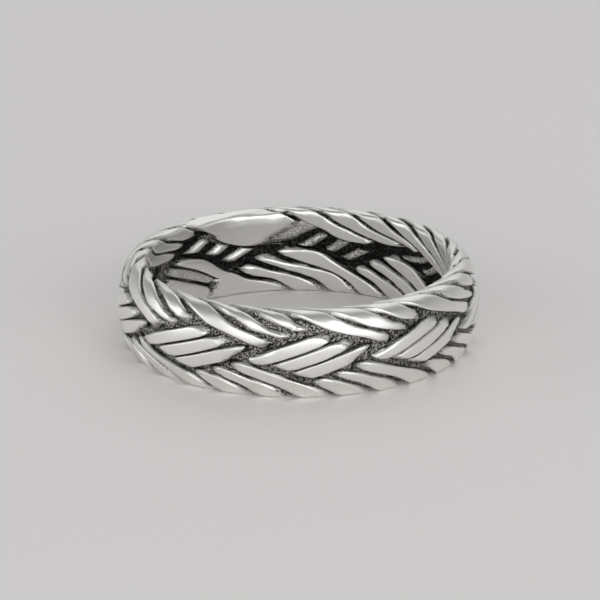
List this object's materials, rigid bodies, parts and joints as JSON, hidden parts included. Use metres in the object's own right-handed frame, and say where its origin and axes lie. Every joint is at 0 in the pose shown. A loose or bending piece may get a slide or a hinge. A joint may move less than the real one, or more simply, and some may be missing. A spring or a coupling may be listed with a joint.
{
  "type": "braided dome ring",
  "caption": "Domed finger ring cast as a flat braid: grooved strands cross over and under each other round an open bore, with a smooth bare plate inside.",
  "frame": {"origin": "centre of the finger bore, at the middle of the band's height", "axes": "+Z along the bore's axis, which is upright when the ring lies on its side; -Y is the side that faces the picture's viewer"},
  "size_m": [0.0218, 0.0218, 0.0052],
  "materials": {
    "oxidised_silver": "polished tops, blackened grooves and recesses"
  },
  "bodies": {
    "root": {"braided_band": "oxidised_silver"}
  },
  "joints": []
}
